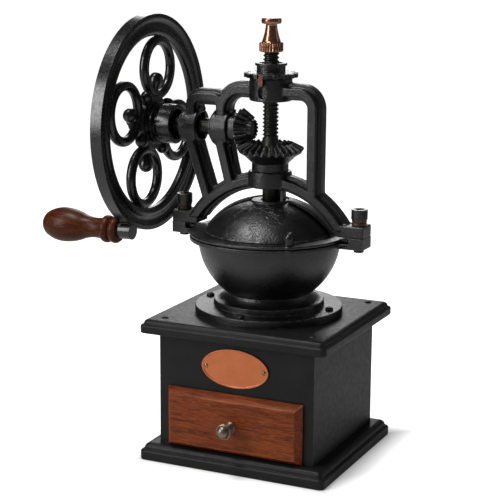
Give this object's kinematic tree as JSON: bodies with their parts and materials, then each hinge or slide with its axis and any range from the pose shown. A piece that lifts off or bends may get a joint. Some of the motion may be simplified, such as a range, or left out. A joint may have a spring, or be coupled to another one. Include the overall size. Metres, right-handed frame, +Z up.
{
  "type": "hand crank coffee grinder",
  "caption": "Hand coffee mill: a spoked crank wheel drives bevel gears and a burr under a domed hopper, above a wooden box with a drawer.",
  "frame": {"origin": "centre of the base plate's underside, on the spindle's axis", "axes": "+Z up along the spindle, -Y to the front with the drawer, -X towards the crank wheel"},
  "size_m": [0.2672, 0.1768, 0.3506],
  "materials": {
    "black_wood": "satin black paint over wood",
    "mahogany": "reddish mahogany stain, lighter on worn edges",
    "pale_wood": "plain unpainted wood",
    "grip_wood": "dark red-brown varnished wood",
    "cast_black": "satin black paint over a fine cast texture",
    "wheel_black": "smoother, slightly glossy black paint",
    "black_steel": "black oxide, slightly shiny",
    "bright_steel": "turned steel with fine marks",
    "rusty_steel": "dark steel with a rust bloom",
    "copper": "aged copper, polished on the high spots",
    "bronze": "dark aged bronze"
  },
  "bodies": {
    "mill": {"base_plate": "black_wood", "box_front": "black_wood", "box_back": "black_wood", "box_left": "black_wood", "box_right": "black_wood", "drawer_runners": "pale_wood", "top_plate": "black_wood", "top_plate_screws": "black_steel", "hopper_bowl": "cast_black", "flange_screws": "black_steel", "outer_burr": "bright_steel", "rear_cover": "cast_black", "cover_pin": "black_steel", "gear_frame": "cast_black", "clamp_bolts": "black_steel", "clamp_washers": "rusty_steel", "spindle_bush": "bronze", "shaft_bush_outer": "bronze", "shaft_bush_inner": "bronze", "detent_spring": "copper", "oval_plate": "copper", "plate_rivets": "copper"},
    "wheel": {"crank_wheel": "wheel_black", "wheel_shaft": "bright_steel", "wheel_nut": "black_steel", "wheel_washer": "black_steel", "pinion": "cast_black", "pinion_pin": "bright_steel", "thrust_washer": "black_steel", "grip_bolt": "black_steel"},
    "grip": {"crank_grip": "grip_wood"},
    "gear": {"crown_gear": "cast_black", "gear_key": "bright_steel"},
    "adjuster": {"adjuster_disc": "cast_black"},
    "sleeve": {"adjuster_sleeve": "bright_steel"},
    "spindle": {"spindle": "bright_steel", "thrust_nut": "bright_steel", "finial_knob": "copper", "inner_burr": "bright_steel", "burr_washer": "bright_steel", "burr_nut": "bright_steel"},
    "drawer": {"drawer_front": "mahogany", "drawer_left_side": "pale_wood", "drawer_right_side": "pale_wood", "drawer_back": "pale_wood", "drawer_bottom": "pale_wood", "drawer_knob": "bronze", "drawer_knob_screw": "bright_steel"},
    "door": {"hopper_door": "cast_black"}
  },
  "joints": [
    {"name": "wheel_spin", "type": "hinge", "parent": "mill", "child": "wheel", "pos_m": [-0.0678, 0, 0.262], "axis": [1, 0, 0], "continuous": true},
    {"name": "grip_spin", "type": "hinge", "parent": "wheel", "child": "grip", "pos_m": [-0.149, -0.03997, 0.17858], "axis": [1, 0, 0], "continuous": true},
    {"name": "gear_spin", "type": "hinge", "parent": "mill", "child": "gear", "pos_m": [0, 0, 0.24], "axis": [0, 0, 1], "continuous": true},
    {"name": "adjust_turn", "type": "hinge", "parent": "mill", "child": "adjuster", "pos_m": [0, 0, 0.306], "axis": [0, 0, 1], "range_deg": [0, 361], "deforming": ["detent_spring"]},
    {"name": "sleeve_lift", "type": "slide", "parent": "mill", "child": "sleeve", "axis": [0, 0, 1], "range_m": [0, 0.0015]},
    {"name": "spindle_spin", "type": "hinge", "parent": "sleeve", "child": "spindle", "pos_m": [0, 0, 0.26], "axis": [0, 0, 1], "continuous": true},
    {"name": "drawer_slide", "type": "slide", "parent": "mill", "child": "drawer", "axis": [0, -1, 0], "range_m": [0, 0.085]},
    {"name": "door_swing", "type": "hinge", "parent": "mill", "child": "door", "pos_m": [0, 0, 0.2], "axis": [0, 0, 1], "range_deg": [-130, 0]}
  ],
  "couplings": [
    {"joint": "gear_spin", "follows": "wheel_spin", "ratio": -0.57692},
    {"joint": "spindle_spin", "follows": "wheel_spin", "ratio": -0.57692},
    {"joint": "adjust_turn", "follows": "sleeve_lift", "rad_per_m": 4188.8}
  ]
}
